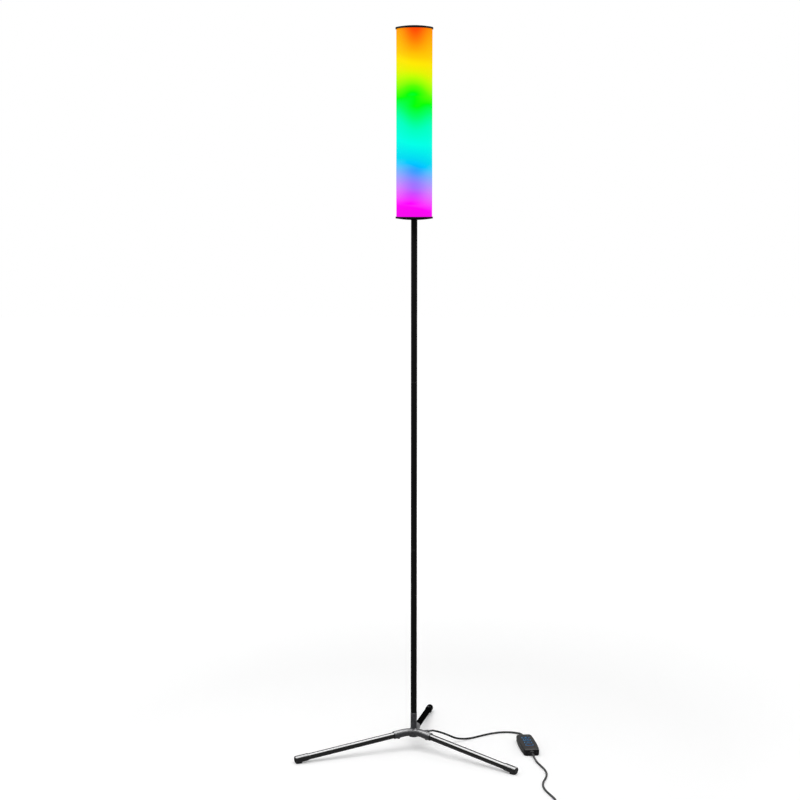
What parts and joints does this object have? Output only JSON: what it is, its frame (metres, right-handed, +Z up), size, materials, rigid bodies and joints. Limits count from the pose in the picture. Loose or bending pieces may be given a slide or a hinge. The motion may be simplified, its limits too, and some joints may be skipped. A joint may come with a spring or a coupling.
{
  "type": "led floor lamp",
  "caption": "Slim floor lamp: lit milky tube on a black pole with a three-legged foot, and a button controller on its cord.",
  "frame": {"origin": "point on the floor under the pole's axis, in the plane of the three soles", "axes": "+Z up along the pole; the picture looks along +Y, with +X to its right"},
  "size_m": [0.488, 0.6372, 1.4],
  "materials": {
    "hub": "satin dark grey",
    "leg_tube": "glossy black",
    "foot_rubber": "matte black rubber",
    "pole": "satin black",
    "steel": "plain machined steel",
    "gland": "matte black rubber",
    "lead": "matte black",
    "shade_cap": "satin black",
    "diffuser": "milky tube lit from inside, colours running from orange-red down to magenta",
    "light_core": "plain extruded aluminium",
    "core_plug": "matte black",
    "circuit_board": "green solder mask",
    "led_strip": "white flexible board",
    "led_chip": "clear-topped chips",
    "controller_case": "fine satin black",
    "board_part": "black moulded parts",
    "boss": "matte black rubber",
    "wire": "insulated wires",
    "light_ring": "clear ring lit light blue",
    "button": "satin black keys",
    "plunger": "white plastic",
    "cord": "matte black jacket",
    "tie": "matte black strap",
    "plug_grip": "moulded black",
    "plug_shell": "nickel-plated sheet",
    "plug_tongue": "white plastic",
    "contact": "gold-plated"
  },
  "bodies": {
    "root": {"hub": "hub", "hub_bottom_plug": "core_plug", "cord_gland": "gland", "leg_lock_screws": "steel", "leg_tube_rear": "leg_tube", "leg_tube_left": "leg_tube", "leg_tube_right": "leg_tube", "foot_cap_rear": "foot_rubber", "foot_cap_left": "foot_rubber", "foot_cap_right": "foot_rubber", "pole_lower": "pole", "pole_middle": "pole", "pole_upper": "pole", "lower_coupler": "steel", "upper_coupler": "steel", "inner_lead": "lead", "pole_stud": "steel", "stud_washer": "steel", "stud_nut": "steel", "shade_bottom_cap": "shade_cap", "shade_diffuser": "diffuser", "shade_top_cap": "shade_cap", "top_cap_screw": "steel", "light_core": "light_core", "core_foot": "core_plug", "core_head": "core_plug", "terminal_board": "circuit_board", "led_strips": "led_strip", "led_chips": "led_chip", "controller_front": "controller_case", "controller_back": "controller_case", "controller_screws": "steel", "circuit_board": "circuit_board", "board_parts": "board_part", "tactile_switches": "board_part", "inlet_boss": "boss", "outlet_boss": "boss", "inlet_wires": "wire", "outlet_wires": "wire", "light_rings": "light_ring", "lead_cord": "cord", "supply_cord": "cord", "cord_coil": "cord", "plug_cord": "cord", "coil_tie": "tie", "plug_grip": "plug_grip", "plug_shell": "plug_shell", "plug_tongue": "plug_tongue", "plug_contacts": "contact"},
    "plus_key": {"button_plus": "button", "plunger_plus": "plunger"},
    "mode_key": {"button_mode": "button", "plunger_mode": "plunger"},
    "minus_key": {"button_minus": "button", "plunger_minus": "plunger"},
    "power_key": {"button_power": "button", "plunger_power": "plunger"}
  },
  "joints": [
    {"name": "plus_press", "type": "slide", "parent": "root", "child": "plus_key", "axis": [0, 0, -1], "range_m": [0, 0.0004], "stiffness_N_per_m": 2000, "springref_m": -0.0002},
    {"name": "mode_press", "type": "slide", "parent": "root", "child": "mode_key", "axis": [0, 0, -1], "range_m": [0, 0.0004], "stiffness_N_per_m": 2000, "springref_m": -0.0002},
    {"name": "minus_press", "type": "slide", "parent": "root", "child": "minus_key", "axis": [0, 0, -1], "range_m": [0, 0.0004], "stiffness_N_per_m": 2000, "springref_m": -0.0002},
    {"name": "power_press", "type": "slide", "parent": "root", "child": "power_key", "axis": [0, 0, -1], "range_m": [0, 0.0004], "stiffness_N_per_m": 2000, "springref_m": -0.0002}
  ]
}
